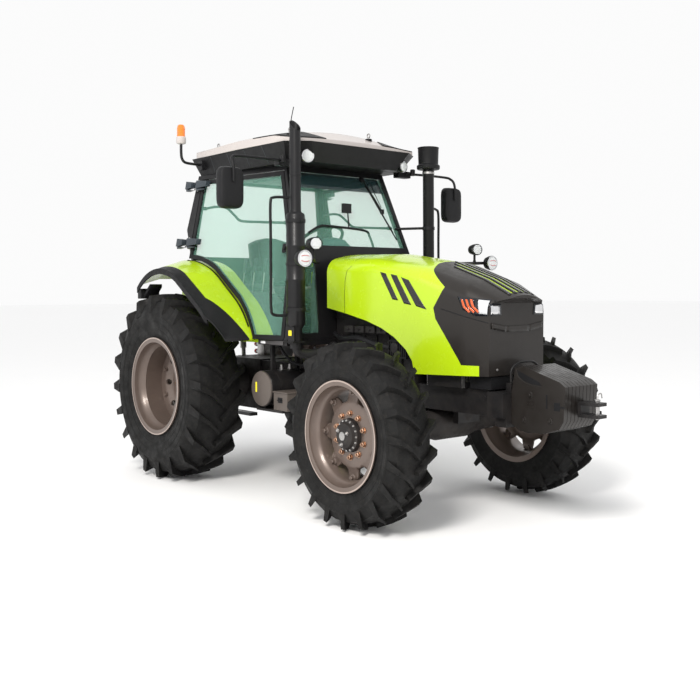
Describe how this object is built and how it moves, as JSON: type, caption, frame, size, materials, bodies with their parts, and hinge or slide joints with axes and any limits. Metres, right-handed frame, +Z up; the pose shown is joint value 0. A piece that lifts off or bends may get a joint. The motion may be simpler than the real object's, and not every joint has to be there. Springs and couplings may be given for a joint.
{
  "type": "farm tractor",
  "caption": "Four-wheel-drive farm tractor with a glazed cab, tilting hood, steered front axle, front weights and a rear linkage with a drawbar",
  "frame": {"origin": "on the ground at the middle of the tractor's length and width", "axes": "+X forward, +Y to the left, +Z up"},
  "size_m": [4.835, 2.592, 3.0659],
  "materials": {
    "lime_paint": "gloss lime paint",
    "graphite_paint": "satin graphite paint",
    "chassis_paint": "semi-gloss black chassis paint",
    "cast_black": "painted black casting",
    "rim_paint": "taupe metallic paint",
    "tyre": "matt black rubber",
    "black_plastic": "grained black plastic",
    "roof_plastic": "pale warm grey moulding",
    "grey_plastic": "slate grey moulding",
    "tinted_glass": "mint tinted glass",
    "amber_lens": "amber lens",
    "lamp_lens": "clear lamp lens",
    "seat_fabric": "dark woven cloth",
    "steel": "bare machined steel",
    "taupe_paint": "taupe satin paint"
  },
  "bodies": {
    "root": {"rear_axle_housing": "cast_black", "transmission_housing": "cast_black", "engine_block": "cast_black", "front_axle_beam": "cast_black", "front_frame": "chassis_paint", "radiator": "chassis_paint", "front_weights": "graphite_paint", "tow_clevis": "chassis_paint", "lower_grille": "black_plastic", "cab_frame": "chassis_paint", "windscreen": "tinted_glass", "rear_window": "tinted_glass", "cab_platform": "chassis_paint", "fenders": "lime_paint", "fender_flares": "black_plastic", "roof_cap": "roof_plastic", "roof_skirt": "black_plastic", "exhaust_stack": "chassis_paint", "air_intake": "black_plastic", "mirrors": "black_plastic", "front_lamps": "lamp_lens", "beacon": "amber_lens", "seat_base": "chassis_paint", "seat_cushion": "seat_fabric", "seat_back": "seat_fabric", "consoles": "grey_plastic", "air_tank": "chassis_paint", "toolbox": "taupe_paint", "steps_left": "chassis_paint", "fuel_tank": "black_plastic", "drawbar": "chassis_paint"},
    "rear_wheel_right": {"rear_tyre_right": "tyre", "rear_rim_right": "rim_paint"},
    "knuckle_right": {"knuckle_right": "cast_black"},
    "front_wheel_right": {"front_tyre_right": "tyre", "front_rim_right": "rim_paint", "front_hub_right": "cast_black"},
    "door_right": {"door_frame_right": "black_plastic", "door_glass_right": "tinted_glass"},
    "rear_wheel_left": {"rear_tyre_left": "tyre", "rear_rim_left": "rim_paint"},
    "knuckle_left": {"knuckle_left": "cast_black"},
    "front_wheel_left": {"front_tyre_left": "tyre", "front_rim_left": "rim_paint", "front_hub_left": "cast_black"},
    "door_left": {"door_frame_left": "black_plastic", "door_glass_left": "tinted_glass"},
    "tie_rod": {"tie_rod": "steel"},
    "lower_links": {"lower_links": "chassis_paint"},
    "hood": {"hood": "lime_paint", "hood_nose": "graphite_paint"},
    "steering_wheel": {"steering_wheel": "black_plastic"},
    "pto_shaft": {"pto_shaft": "steel"}
  },
  "joints": [
    {"name": "steering_wheel_turn", "type": "hinge", "parent": "root", "child": "steering_wheel", "pos_m": [-0.5275, 0, 2.06], "axis": [-0.5478, 0, 0.8366], "range_deg": [-720, 720]},
    {"name": "rear_wheel_right_spin", "type": "hinge", "parent": "root", "child": "rear_wheel_right", "pos_m": [-1.4875, -0.872, 0.803], "axis": [0, 1, 0], "continuous": true},
    {"name": "steer_right", "type": "hinge", "parent": "root", "child": "knuckle_right", "pos_m": [1.0325, -0.7, 0.64], "axis": [0, 0, 1], "range_deg": [-35.1, 35.1]},
    {"name": "front_wheel_right_spin", "type": "hinge", "parent": "knuckle_right", "child": "front_wheel_right", "pos_m": [1.0325, -0.878, 0.64], "axis": [0, 1, 0], "continuous": true},
    {"name": "door_right_swing", "type": "hinge", "parent": "root", "child": "door_right", "pos_m": [-1.3875, -0.74692, 2.3], "axis": [0, -0.1857, -0.9826], "range_deg": [0, 70]},
    {"name": "rear_wheel_left_spin", "type": "hinge", "parent": "root", "child": "rear_wheel_left", "pos_m": [-1.4875, 0.872, 0.803], "axis": [0, 1, 0], "continuous": true},
    {"name": "steer_left", "type": "hinge", "parent": "root", "child": "knuckle_left", "pos_m": [1.0325, 0.7, 0.64], "axis": [0, 0, 1], "range_deg": [-35.1, 35.1]},
    {"name": "front_wheel_left_spin", "type": "hinge", "parent": "knuckle_left", "child": "front_wheel_left", "pos_m": [1.0325, 0.878, 0.64], "axis": [0, 1, 0], "continuous": true},
    {"name": "door_left_swing", "type": "hinge", "parent": "root", "child": "door_left", "pos_m": [-1.3875, 0.74692, 2.3], "axis": [0, -0.1857, 0.9826], "range_deg": [0, 70]},
    {"name": "lower_links_lift", "type": "hinge", "parent": "root", "child": "lower_links", "pos_m": [-1.5275, 0, 0.52], "axis": [0, 1, 0], "range_deg": [-12, 24]},
    {"name": "tie_rod_swing", "type": "hinge", "parent": "knuckle_right", "child": "tie_rod", "pos_m": [0.8025, -0.7, 0.528], "axis": [0, 0, 1], "range_deg": [-35.1, 35.1]},
    {"name": "hood_tilt", "type": "hinge", "parent": "root", "child": "hood", "pos_m": [0.1225, 0, 1.8], "axis": [0, -1, 0], "range_deg": [0, 45]},
    {"name": "pto_shaft_spin", "type": "hinge", "parent": "root", "child": "pto_shaft", "pos_m": [-1.7225, 0, 0.64], "axis": [1, 0, 0], "continuous": true}
  ],
  "couplings": [
    {"joint": "steer_right", "follows": "steering_wheel_turn", "ratio": 0.048611},
    {"joint": "steer_left", "follows": "steering_wheel_turn", "ratio": 0.048611},
    {"joint": "tie_rod_swing", "follows": "steering_wheel_turn", "ratio": -0.048611}
  ]
}
